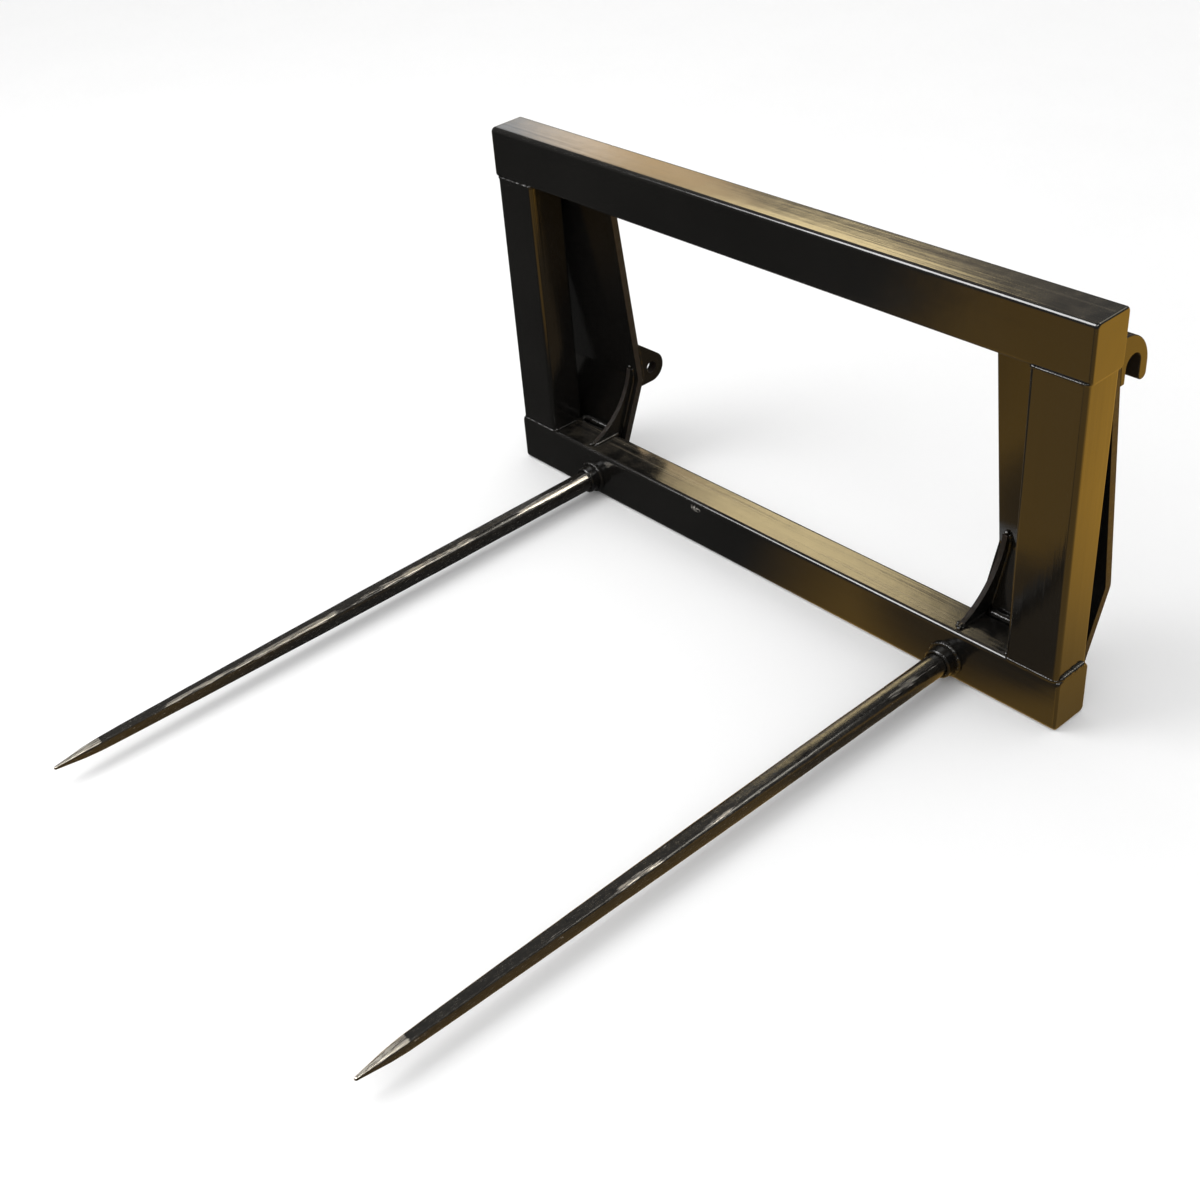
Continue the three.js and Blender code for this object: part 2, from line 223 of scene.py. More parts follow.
def enamel(
    name,
    streaks=None,
    streak_depth=1.0,
    peel=1.0,
    dust=1.0,
    scuffs=(),
    gloss=(0.08, 0.14),
    shine=0.5,
    cut=None,
):
    """Gloss black enamel over steel: orange peel, faint dust on top, a few scuffs down to primer.

    streaks is the noise scale of long streaks left by rolling, or None; on upward faces the streak lines also
    get a painted reflection, a pale beige tint. gloss is the range of roughness.
    cut is ("sides" or "rim", noise scale): the flame-cut faces, which face along X or don't.
    """
    material, tree, shader = new_material(name)
    place = object_place(tree)
    broad = tree.noise(place, SHADE_SCALE, 3.0)
    fine = tree.noise(place, SPECK_SCALE, 2.0)
    patch = tree.noise(place, CLOUD_SCALE, 4.0, 0.6)
    facing = tree.add("ShaderNodeSeparateXYZ")
    tree.link(tree.add("ShaderNodeNewGeometry").outputs["Normal"], facing.inputs[0])
    upward = tree.ramp(facing.outputs[2], 0.75, 1.0)
    speck = tree.ramp(fine, 0.62, 0.74)
    cloud = tree.ramp(patch, 0.42, 0.72)
    settled = tree.math("MULTIPLY", tree.math("MULTIPLY", speck, cloud), 0.55 * dust)
    film = tree.math("MULTIPLY", upward, tree.math("MULTIPLY", cloud, 0.10 * dust))
    dusty = tree.math("ADD", tree.math("MULTIPLY", settled, upward), film, clamp=True)
    dusty = tree.math("ADD", dusty, tree.math("MULTIPLY", speck, 0.025), clamp=True)
    colour = tree.mix(dusty, ENAMEL_BLACK, DUST)
    shade = tree.ramp(broad, 0.3, 0.7, 0.85, 1.15)
    scaled = tree.add("ShaderNodeVectorMath", operation="SCALE")
    tree.link(colour, scaled.inputs[0])
    tree.link(shade, scaled.inputs["Scale"])
    colour = scaled.outputs[0]
    rough = tree.ramp(patch, 0.3, 0.75, *gloss)
    rough = tree.math("ADD", rough, tree.math("MULTIPLY", speck, 0.10))
    orange = tree.noise(place, PEEL_SCALE, 2.0, 0.45)
    waves = tree.noise(place, WAVE_SCALE, 2.0, 0.4)
    normal = tree.bump(waves, 0.0012, 0.16)
    normal = tree.bump(orange, 0.00022, 0.30 * peel, normal)
    if streaks is not None:
        lines = tree.noise(tree.stretched(place, streaks), 1.0, 3.0, 0.6)
        lines_wide = tree.noise(
            tree.stretched(place, tuple(0.3 * s for s in streaks)), 1.0, 2.0
        )
        normal = tree.bump(lines, 0.0008 * streak_depth, 0.42, normal)
        normal = tree.bump(lines_wide, 0.0016 * streak_depth, 0.30, normal)
        rough = tree.math("ADD", rough, tree.ramp(lines, 0.4, 0.8, 0.0, 0.05 * streak_depth))
        # Painted reflection: a pale beige tint along the streak lines on upward faces stands for the streaky
        # sheen of the rolled enamel.
        streak_sheen_top = tree.math("MULTIPLY", upward, 0.22 * streak_depth)
        painted_streak_sheen = tree.math("MULTIPLY", tree.ramp(lines, 0.50, 0.78), streak_sheen_top)
        colour = tree.mix(painted_streak_sheen, colour, DUST)
    for centre, size in scuffs:
        offset = tree.add("ShaderNodeVectorMath", operation="SUBTRACT")
        tree.link(place, offset.inputs[0])
        offset.inputs[1].default_value = centre
        scale = tree.add("ShaderNodeVectorMath", operation="DIVIDE")
        tree.link(offset.outputs[0], scale.inputs[0])
        scale.inputs[1].default_value = size
        reach = tree.add("ShaderNodeVectorMath", operation="LENGTH")
        tree.link(scale.outputs[0], reach.inputs[0])
        near = tree.ramp(reach.outputs["Value"], 1.0, 0.35)
        torn = tree.ramp(tree.noise(place, SCUFF_SCALE, 3.0, 0.7), 0.48, 0.56)
        scuff = tree.math("MULTIPLY", near, torn)
        colour = tree.mix(scuff, colour, PRIMER)
        rough = tree.math("ADD", rough, tree.math("MULTIPLY", scuff, 0.35))
    if cut is not None:
        which, scale = cut
        sideways = tree.ramp(tree.math("ABSOLUTE", facing.outputs[0]), 0.90, 0.97)
        cut_face = sideways if which == "sides" else tree.math("SUBTRACT", 1.0, sideways)
        drag = tree.noise(tree.stretched(place, scale), 1.0, 3.0, 0.65)
        burnt = tree.mix(tree.ramp(drag, 0.35, 0.65), CUT_DARK, CUT_BROWN)
        colour = tree.mix(cut_face, colour, burnt)
        rough = tree.mix_value(cut_face, rough, tree.ramp(drag, 0.3, 0.7, 0.55, 0.75))
        drag_height = tree.math("MULTIPLY", drag, cut_face)
        normal = tree.bump(drag_height, 0.0011, 0.55, normal)
    shader.inputs["Specular IOR Level"].default_value = shine
    tree.link(colour, shader.inputs["Base Color"])
    tree.link(rough, shader.inputs["Roughness"])
    tree.link(normal, shader.inputs["Normal"])
    shader.inputs["IOR"].default_value = PAINT_IOR
    return material


def tine_finish(name):
    """Black paint on forged steel, with wear through along the corners and bare ground steel at the point.
    The bare steel is also a painted highlight: its masks favour the upper corner facing +X and the top facet.
    """
    material, tree, shader = new_material(name)
    place = object_place(tree)
    wear_and_highlight = tree.add("ShaderNodeAttribute", attribute_name="wear_and_highlight").outputs["Fac"]
    ground = tree.add("ShaderNodeAttribute", attribute_name="ground").outputs["Fac"]
    along = tree.noise(tree.stretched(place, (420.0, 26.0, 420.0)), 1.0, 4.0, 0.62)
    chips = tree.noise(tree.stretched(place, (240.0, 80.0, 240.0)), 1.0, 3.0, 0.6)
    long_patch = tree.noise(tree.stretched(place, (9.0, 5.0, 9.0)), 1.0, 2.0)
    reach = tree.math("MULTIPLY", wear_and_highlight, tree.ramp(long_patch, 0.35, 0.62))
    # Bare steel from corner wear, chips and the ground point; along the tine's upper edge it is also a
    # painted highlight.
    edge = tree.ramp(tree.math("ADD", reach, along), 0.93, 1.16)
    spots = tree.math("MULTIPLY", tree.ramp(chips, 0.70, 0.76), 0.45)
    bare_and_highlight = tree.math("MAXIMUM", edge, spots)
    smear = tree.math("ADD", ground, tree.math("MULTIPLY", along, 0.6))
    bare_and_highlight = tree.math("MAXIMUM", bare_and_highlight, tree.ramp(smear, 0.72, 0.95))
    steel_tone = tree.mix(tree.ramp(along, 0.3, 0.7), DULL_STEEL, BARE_STEEL)
    paint_tone = tree.mix(tree.ramp(chips, 0.3, 0.7), TINE_PAINT_DARK, TINE_PAINT_FADED)
    tree.link(tree.mix(bare_and_highlight, paint_tone, steel_tone), shader.inputs["Base Color"])
    tree.link(tree.math("MULTIPLY", bare_and_highlight, 0.92), shader.inputs["Metallic"])
    paint_rough = tree.ramp(chips, 0.3, 0.75, 0.17, 0.30)
    steel_rough = tree.ramp(along, 0.3, 0.7, 0.24, 0.40)
    tree.link(tree.mix_value(bare_and_highlight, paint_rough, steel_rough), shader.inputs["Roughness"])
    forged = tree.noise(place, 95.0, 3.0, 0.5)
    normal = tree.bump(forged, 0.0012, 0.20)
    normal = tree.bump(along, 0.0005, 0.35, normal)
    normal = tree.bump(bare_and_highlight, 0.00035, -0.35, normal)
    tree.link(normal, shader.inputs["Normal"])
    shader.inputs["IOR"].default_value = PAINT_IOR
    return material


def plated_finish(name):
    """Zinc plate: fine grain, cloudy tone, a little dull in patches."""
    material, tree, shader = new_material(name)
    place = object_place(tree)
    cloud = tree.noise(place, 120.0, 4.0, 0.6)
    grain = tree.noise(place, 1400.0, 2.0)
    colour = tree.mix(tree.ramp(cloud, 0.3, 0.7), ZINC_DARK, ZINC_LIGHT)
    tree.link(colour, shader.inputs["Base Color"])
    tree.link(tree.ramp(cloud, 0.3, 0.7, 0.30, 0.46), shader.inputs["Roughness"])
    tree.link(tree.bump(grain, 0.0002, 0.25), shader.inputs["Normal"])
    shader.inputs["Metallic"].default_value = 0.9
    return material


BEAM_FRONT_SCUFF = [((-0.150, CAD_LOW.y + 1.2505, 0.085), (0.016, 0.012, 0.008))]
BEAM_STREAKS = (1.6, 75.0, 45.0)
UPRIGHT_STREAKS = (90.0, 90.0, 1.6)
ENAMEL_BEAM = enamel("enamel_beam", streaks=BEAM_STREAKS)
ENAMEL_BEAM_LOW = enamel(
    "enamel_beam_low", streaks=BEAM_STREAKS, streak_depth=1.5, scuffs=BEAM_FRONT_SCUFF
)
ENAMEL_UPRIGHT = enamel("enamel_upright", streaks=UPRIGHT_STREAKS, streak_depth=0.8)
ENAMEL_PLATE = enamel("enamel_plate", peel=1.3, cut=("sides", (90.0, 70.0, 620.0)))
ENAMEL_LUG = enamel("enamel_lug", peel=1.5, gloss=(0.14, 0.24), shine=0.26, cut=("rim", (70.0, 620.0, 620.0)))
ENAMEL_CAP = enamel("enamel_cap", peel=1.3)
ENAMEL_WELD = enamel("enamel_weld", peel=2.2, dust=0.6)
ENAMEL_SLEEVE = enamel("enamel_sleeve", peel=2.2, dust=0.6, gloss=(0.22, 0.32), shine=0.4)
TINE_STEEL = tine_finish("tine_steel_wear_and_highlight")
PLATED = plated_finish("plated_steel_dull")


# ---------------------------------------------------------------- mesh helpers
def add_mesh(name, vertices, faces, material, body="root"):
    mesh = bpy.data.meshes.new(name)
    mesh.from_pydata([tuple(v) for v in vertices], [], faces)
    mesh.validate()
    mesh.materials.append(material)
    for polygon in mesh.polygons:
        polygon.use_smooth = True
    obj = bpy.data.objects.new(name, mesh)
    bpy.context.scene.collection.objects.link(obj)
    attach(obj, body)
    return obj


def resample(points, step, closed=False):
    """Points along a polyline, at most a step apart."""
    pts = [Vector(p) for p in points]
    if closed:
        pts.append(pts[0])
    lengths = [(b - a).length for a, b in zip(pts, pts[1:])]
    total = sum(lengths)
    count = max(2, int(math.ceil(total / step)))
    out = []
    last = count if closed else count + 1
    for i in range(last):
        target = total * i / count
        for a, b, length in zip(pts, pts[1:], lengths):
            if target <= length or (b - pts[-1]).length < 1e-9 and target <= length + 1e-9:
                out.append(a.lerp(b, min(1.0, target / max(length, 1e-9))))
                break
            target -= length
    return out, total


BEAD_STEP = 1.1 * MM
BEAD_PITCH = 4.2 * MM
BEAD_RING = 10


def sweep_bead(name, paths, radius, seed, closed=False, finish=ENAMEL_WELD):
    """Painted weld beads in one mesh: a round section along each path, with ripples and uneven width."""
    vertices, faces = [], []
    for index, path in enumerate(paths):
        pts, total = resample(path, BEAD_STEP, closed)
        count = len(pts)
        base = len(vertices)
        shift = Vector((seed * 7.31, index * 3.17, seed * 1.7))
        side = None
        for i, p in enumerate(pts):
            if closed:
                tangent = (pts[(i + 1) % count] - pts[i - 1]).normalized()
            else:
                tangent = (pts[min(i + 1, count - 1)] - pts[max(i - 1, 0)]).normalized()
            if side is None:
                seed_axis = Vector((0, 0, 1)) if abs(tangent.z) < 0.8 else Vector((1, 0, 0))
                side = seed_axis.cross(tangent).normalized()
            side = (side - tangent * side.dot(tangent)).normalized()
            other = tangent.cross(side)
            s = total * i / max(count - (0 if closed else 1), 1)
            ends = 1.0
            if not closed:
                near = min(s, total - s) / (1.6 * radius)
                ends = math.sqrt(max(0.06, min(1.0, near) * (2.0 - min(1.0, near))))
            wander = noise.noise(p * 60.0 + shift)
            swell = 1.0 + 0.22 * noise.noise(p * 110.0 + shift * 2.0)
            for j in range(BEAD_RING):
                angle = 2.0 * math.pi * j / BEAD_RING
                phase = s / BEAD_PITCH + 0.30 * math.cos(angle) + 0.5 * wander
                coin = abs(math.sin(math.pi * phase)) ** 0.65
                r = radius * ends * swell * (0.86 + 0.17 * coin)
                vertices.append(p + (side * math.cos(angle) + other * math.sin(angle)) * r)
        for i in range(count if closed else count - 1):
            a = base + i * BEAD_RING
            b = base + ((i + 1) % count) * BEAD_RING
            for j in range(BEAD_RING):
                k = (j + 1) % BEAD_RING
                faces.append((a + j, a + k, b + k, b + j))
        if not closed:
            faces.append(tuple(base + j for j in range(BEAD_RING))[::-1])
            faces.append(tuple(base + (count - 1) * BEAD_RING + j for j in range(BEAD_RING)))
    return add_mesh(name, vertices, faces, finish)


def slice_depths(node, height):
    """Front and rear of a CAD node's mesh at one height."""
    mesh = NODES[node].data
    found = []
    for edge in mesh.edges:
        a, b = (mesh.vertices[v].co for v in edge.vertices)
        if (a.z - height) * (b.z - height) <= 0 and abs(a.z - b.z) > 1e-9:
            share = (height - a.z) / (b.z - a.z)
            found.append(a.y + (b.y - a.y) * share)
    return min(found), max(found)


# ---------------------------------------------------------------- CAD nodes: edges and finishes
def edge_cleaner():
    """Node group that joins split corners again and clears stored normals, so that edges can be rounded."""
    group = bpy.data.node_groups.new("clean_edges", "GeometryNodeTree")
    group.interface.new_socket("Geometry", in_out="INPUT", socket_type="NodeSocketGeometry")
    group.interface.new_socket("Geometry", in_out="OUTPUT", socket_type="NodeSocketGeometry")
    enter = group.nodes.new("NodeGroupInput")
    leave = group.nodes.new("NodeGroupOutput")
    strip = group.nodes.new("GeometryNodeRemoveAttribute")
    strip.inputs["Name"].default_value = "custom_normal"
    merge = group.nodes.new("GeometryNodeMergeByDistance")
    merge.inputs["Distance"].default_value = 0.01 * MM
    smooth = group.nodes.new("GeometryNodeSetShadeSmooth")
    group.links.new(enter.outputs[0], strip.inputs["Geometry"])
    group.links.new(strip.outputs[0], merge.inputs["Geometry"])
    group.links.new(merge.outputs[0], smooth.inputs["Geometry"])
    group.links.new(smooth.outputs[0], leave.inputs[0])
    return group


CLEANER = edge_cleaner()
FLAT_ANGLE = math.radians(0.6)
ROUNDED_ANGLE = math.radians(38)


def finish_node(node, material, bevel, segments=2):
    obj = NODES[node]
    obj.data.materials.clear()
    obj.data.materials.append(material)
    clean = obj.modifiers.new("clean", "NODES")
    clean.node_group = CLEANER
    flat = obj.modifiers.new("flat", "DECIMATE")
    flat.decimate_type = "DISSOLVE"
    flat.angle_limit = FLAT_ANGLE
    rounding = obj.modifiers.new("rounding", "BEVEL")
    rounding.width = bevel
    rounding.segments = segments
    rounding.limit_method = "ANGLE"
    rounding.angle_limit = ROUNDED_ANGLE
    rounding.harden_normals = True
    rounding.miter_outer = "MITER_ARC"


def finish_nodes():
    finish_node("top_beam", ENAMEL_BEAM, 0.3 * MM)
    finish_node("bottom_beam", ENAMEL_BEAM_LOW, 0.3 * MM)
    for label, _ in SIDES:
        finish_node(f"{label}_upright", ENAMEL_UPRIGHT, 0.3 * MM)
        finish_node(f"{label}_hitch_plate", ENAMEL_PLATE, 1.4 * MM, 3)
        finish_node(f"{label}_gusset", ENAMEL_LUG, 0.9 * MM)
        finish_node(f"{label}_pin_lug", ENAMEL_LUG, 1.3 * MM, 3)
        finish_node(f"{label}_hook", ENAMEL_LUG, 1.8 * MM, 3)
        finish_node(f"{label}_tine_sleeve", ENAMEL_SLEEVE, 0.7 * MM)
        finish_node(f"{label}_tine_washer", PLATED, 0.3 * MM)
        finish_node(f"{label}_tine_nut", PLATED, 0.3 * MM)


# ---------------------------------------------------------------- end caps
def rounded_outline(low_y, high_y, low_z, high_z, radius, steps=8):
    points = []
    corners = (
        (high_y - radius, high_z - radius, 0.0),
        (low_y + radius, high_z - radius, 0.5 * math.pi),
        (low_y + radius, low_z + radius, math.pi),
        (high_y - radius, low_z + radius, 1.5 * math.pi),
    )
    for cy, cz, start in corners:
        for i in range(steps + 1):
            angle = start + 0.5 * math.pi * i / steps
            points.append((cy + radius * math.cos(angle), cz + radius * math.sin(angle)))
    return points


TUBE_CORNER = 9.0 * MM
CAP_SEAM = 5.3 * MM
CAP_EDGE = 4.2 * MM
CAP_STEPS = 6


def make_cap(label, side, which):
    """Cap plate welded into the beam's end and ground to a rounded edge."""
    node = f"{label}_{which}_cap"
    low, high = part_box(node)
    outer_x = high.x if side > 0 else low.x
    rings = []
    sections = [(CAP_SEAM, 0.0), (CAP_EDGE, 0.0)]
    for i in range(1, CAP_STEPS + 1):
        angle = 0.5 * math.pi * i / CAP_STEPS
        sections.append((CAP_EDGE * (1.0 - math.sin(angle)), CAP_EDGE * (1.0 - math.cos(angle))))
    for back, inset in sections:
        radius = max(TUBE_CORNER - inset * 0.6, 3.0 * MM)
        outline = rounded_outline(low.y + inset, high.y - inset, low.z + inset, high.z - inset, radius)
        rings.append([Vector((outer_x - side * back, y, z)) for y, z in outline])
    vertices = [v for ring in rings for v in ring]
    count = len(rings[0])
    faces = []
    for r in range(len(rings) - 1):
        for j in range(count):
            k = (j + 1) % count
            quad = (r * count + j, r * count + k, (r + 1) * count + k, (r + 1) * count + j)
            faces.append(quad if side > 0 else quad[::-1])
    front = tuple(range((len(rings) - 1) * count, len(rings) * count))
    rear = tuple(range(count))
    faces.append(front if side > 0 else front[::-1])
    faces.append(rear[::-1] if side > 0 else rear)
    cap = add_mesh(f"{node}_ground", vertices, faces, ENAMEL_CAP)
    weighted = cap.modifiers.new("weighted", "WEIGHTED_NORMAL")
    weighted.keep_sharp = True
    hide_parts(node)


# ---------------------------------------------------------------- tines
# Share of the reach from the tip, and the round body's radius there in millimetres.
BODY_RADII = (
    (0.0, 2.8),
    (0.045, 9.8),
    (0.068, 11.9),
    (0.11, 13.4),
    (0.22, 15.4),
    (0.33, 16.9),
    (0.45, 18.4),
    (0.58, 19.7),
    (0.75, 20.2),
    (0.93, 20.7),
    (1.0, 21.0),
)
TINE_REACH = 1.250
POINT_LENGTH = 0.090
TIP_ROUND = 0.0030
TINE_RING = 56
BODY_STATIONS = 200
POINT_STATIONS = 30
# The body is round, with four flats that give way to the four ground faces of the point.
FLAT_START, FLAT_GROWTH, CORNER_POWER = 9.4 * MM, 0.0104, 14.0
GROUND_START, GROUND_GROWTH = 2.5 * MM, 0.105
FORGED_ROUGHNESS = 0.28 * MM


def body_radius(share):
    for (s0, r0), (s1, r1) in zip(BODY_RADII, BODY_RADII[1:]):
        if share <= s1:
            return (r0 + (r1 - r0) * (share - s0) / (s1 - s0)) * MM
    return BODY_RADII[-1][1] * MM


def tine_section(distance, angle):
    """Distance from the tine's axis to its skin, for a point this far from the tip."""
    share = distance / TINE_REACH
    radius = body_radius(share)
    across = max(abs(math.cos(angle)), abs(math.sin(angle)))
    flat = (FLAT_START + FLAT_GROWTH * distance) / across
    skin = (radius**-CORNER_POWER + flat**-CORNER_POWER) ** (-1.0 / CORNER_POWER)
    if distance < POINT_LENGTH:
        ground = (GROUND_START + GROUND_GROWTH * distance) / across
        skin = min(skin, ground)
    if distance < TIP_ROUND:
        lean = 1.0 - distance / TIP_ROUND
        skin *= math.sqrt(max(0.05, 1.0 - lean * lean))
    return skin


def on_tine(axis_x, axis_z, radius, angle, y):
    return Vector((axis_x + radius * math.cos(angle), y, axis_z + radius * math.sin(angle)))


def make_tine(label, side):
    node = f"{label}_tine"
    low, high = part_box(node)
    axis_x, axis_z = (low.x + high.x) / 2, (low.z + high.z) / 2
    tip_y = low.y
    ring = TINE_RING
    stations = [0.0, 0.0004, 0.0009, 0.0015, 0.0022]
    stations += list(np.linspace(TIP_ROUND, POINT_LENGTH, POINT_STATIONS))
    stations += list(np.linspace(POINT_LENGTH + 0.004, TINE_REACH - 0.012, BODY_STATIONS))
    vertices, wear_and_highlight, ground, faces = [], [], [], []
    for distance in stations:
        for j in range(ring):
            angle = 2.0 * math.pi * (j + 0.5) / ring
            skin = tine_section(distance, angle)
            spot = on_tine(axis_x, axis_z, skin, angle, tip_y + distance)
            if distance > POINT_LENGTH:
                rough = noise.noise(Vector((spot.x * 90.0, spot.y * 22.0 + 9.0 * side, spot.z * 90.0)))
                skin += FORGED_ROUGHNESS * rough
                spot = on_tine(axis_x, axis_z, skin, angle, tip_y + distance)
            vertices.append(spot)
            # Bare-steel masks: partly real wear at the corners and at the ground point, partly painted
            # highlight. The wear is strongest on the upper corner facing +X, which paints the light streak
            # along the tine's upper edge.
            corner = math.cos(2.0 * (angle - math.radians(45.0)))
            top = max(0.0, corner) if math.sin(angle) > 0 else 0.0
            near_edge = max(0.0, math.cos(angle - math.radians(58.0))) ** 10
            other_edge = max(0.0, math.cos(angle - math.radians(130.0))) ** 16
            wear_and_highlight.append(0.74 * near_edge + 0.30 * other_edge + 0.05 * top)
            # Painted highlight: the ground steel of the point lies mostly on the top facet, less on the other
            # facets.
            facet = 1.0 if 42.0 < math.degrees(angle) < 138.0 else 0.34
            ground.append(facet * max(0.0, min(1.0, (POINT_LENGTH - distance) / (12.0 * MM) + 0.5)))
    count = len(stations)
    for i in range(count - 1):
        for j in range(ring):
            k = (j + 1) % ring
            faces.append((i * ring + k, i * ring + j, (i + 1) * ring + j, (i + 1) * ring + k))
    faces.append(tuple(range(ring)))
    faces.append(tuple((count - 1) * ring + j for j in range(ring))[::-1])
    tine = add_mesh(f"{label}_tine_forged", vertices, faces, TINE_STEEL)
    for name, values in (("wear_and_highlight", wear_and_highlight), ("ground", ground)):
        attribute = tine.data.attributes.new(name, "FLOAT", "POINT")
        attribute.data.foreach_set("value", np.array(values, np.float32))
    sharp = tine.data.attributes.new("sharp_edge", "BOOLEAN", "EDGE")
    flags = []
    for edge in tine.data.edges:
        a, b = edge.vertices
        first, second = (tine.data.vertices[v].co for v in (a, b))
        in_point = max(first.y, second.y) < tip_y + POINT_LENGTH + 0.5 * MM
        lengthwise = abs(a - b) == ring
        corner = (a % ring) in [int(ring * q / 8 + 0.001) for q in (1, 3, 5, 7)]
        flags.append(bool(in_point and lengthwise and corner))
    sharp.data.foreach_set("value", np.array(flags, bool))
    make_tine_tail(label, axis_x, axis_z, high.y)
    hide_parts(node)


def make_tine_tail(label, axis_x, axis_z, tail_y):
    """Threaded end of the tine behind its nut, with a real helical thread."""
    pitch, length = 2.0 * MM, 34.0 * MM
    root, crest = 12.8 * MM, 14.0 * MM
    ring = 40
    steps = int(length / pitch) * 8
    vertices, faces = [], []
    for i in range(steps + 1):
        y = tail_y - length * (1.0 - i / steps)
        fade = min(1.0, (tail_y - y) / (2.2 * MM))
        for j in range(ring):
            angle = 2.0 * math.pi * j / ring
            phase = ((y / pitch) + angle / (2.0 * math.pi)) % 1.0
            height = 1.0 - abs(2.0 * phase - 1.0)
            r = root + (crest - root) * height * fade - (1.0 - fade) * 1.2 * MM
            vertices.append((axis_x + r * math.cos(angle), y, axis_z + r * math.sin(angle)))
    for i in range(steps):
        for j in range(ring):
            k = (j + 1) % ring
            faces.append((i * ring + k, i * ring + j, (i + 1) * ring + j, (i + 1) * ring + k))
    faces.append(tuple(range(ring)))
    faces.append(tuple(steps * ring + j for j in range(ring))[::-1])
    add_mesh(f"{label}_tine_thread", vertices, faces, PLATED)


# ---------------------------------------------------------------- weld beads
def loop_round(low, high, height, grow, radius, steps=6):
    """Rounded rectangle in the horizontal plane, grown outwards, as a closed path."""
    points = []
    corners = (
        (high.x - radius, high.y - radius, 0.0),
        (low.x + radius, high.y - radius, 0.5 * math.pi),
        (low.x + radius, low.y + radius, math.pi),
        (high.x - radius, low.y + radius, 1.5 * math.pi),
    )
    for cx, cy, start in corners:
        for i in range(steps + 1):
            angle = start + 0.5 * math.pi * i / steps
            reach = radius + grow
            points.append(Vector((cx + reach * math.cos(angle), cy + reach * math.sin(angle), height)))
    return points


def make_fat_beads(label, side, low, high, beam_high):
    """Heavier runs and blobs round one upright's foot, its gusset and its hitch plate."""
    inner = low.x if side > 0 else high.x
    outer = high.x if side > 0 else low.x
    gusset_low, gusset_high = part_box(f"{label}_gusset")
    web = gusset_low.x if side > 0 else gusset_high.x
    middle = (gusset_low.x + gusset_high.x) / 2
    top, rear = beam_high.z, beam_high.y
    gusset_top = gusset_high.z
    gusset_front = slice_depths(f"{label}_hitch_plate", gusset_top)[0]

    def spot(base, out, back, rise):
        """A point this many millimetres outward, rearward and up from a base point."""
        return Vector((base[0] + side * out * MM, base[1] + back * MM, base[2] + rise * MM))

    # Radius in millimetres, start and end.
    runs = (
        # Seam between the bottom beam and the hitch plate.
        (7.0, spot((middle, rear, top), 7.0, 4.5, 1.5), spot((inner, rear, top), -6.0, 4.5, 1.5)),
        # Outer side of the upright's foot, then two blobs at its inner corners.
        (5.4, spot((outer, low.y, top), 1.0, 7.0, 1.5), spot((outer, high.y, top), 1.0, -7.0, 1.5)),
        (5.2, spot((inner, low.y, top), -1.5, 3.0, 2.0), spot((inner, low.y, top), -1.5, 10.0, 2.0)),
        (6.0, spot((inner, rear, top), -7.0, -8.0, 2.0), spot((inner, rear, top), -7.0, 6.0, 2.0)),
        # The gusset's toe, the inner side of its foot, and its top.
        (
            5.0,
            spot((middle, gusset_low.y, top), 2.0, -9.0, 0.5),
            spot((middle, gusset_low.y, top), 2.0, 13.0, 2.5),
        ),
        (4.6, spot((web, gusset_low.y, top), -1.5, 2.0, 1.0), spot((web, rear, top), -1.5, 3.0, 1.0)),
        (
            5.6,
            spot((middle, gusset_front, gusset_top), 0.0, -3.0, -2.0),
            spot((middle, gusset_front, gusset_top), 0.0, -2.0, 7.0),
        ),
    )
    for index, (radius, start, end) in enumerate(runs):
        name = f"{label}_foot_weld_{index}"
        sweep_bead(name, [[start, end]], radius * MM, 31.0 + side + 1.7 * index)


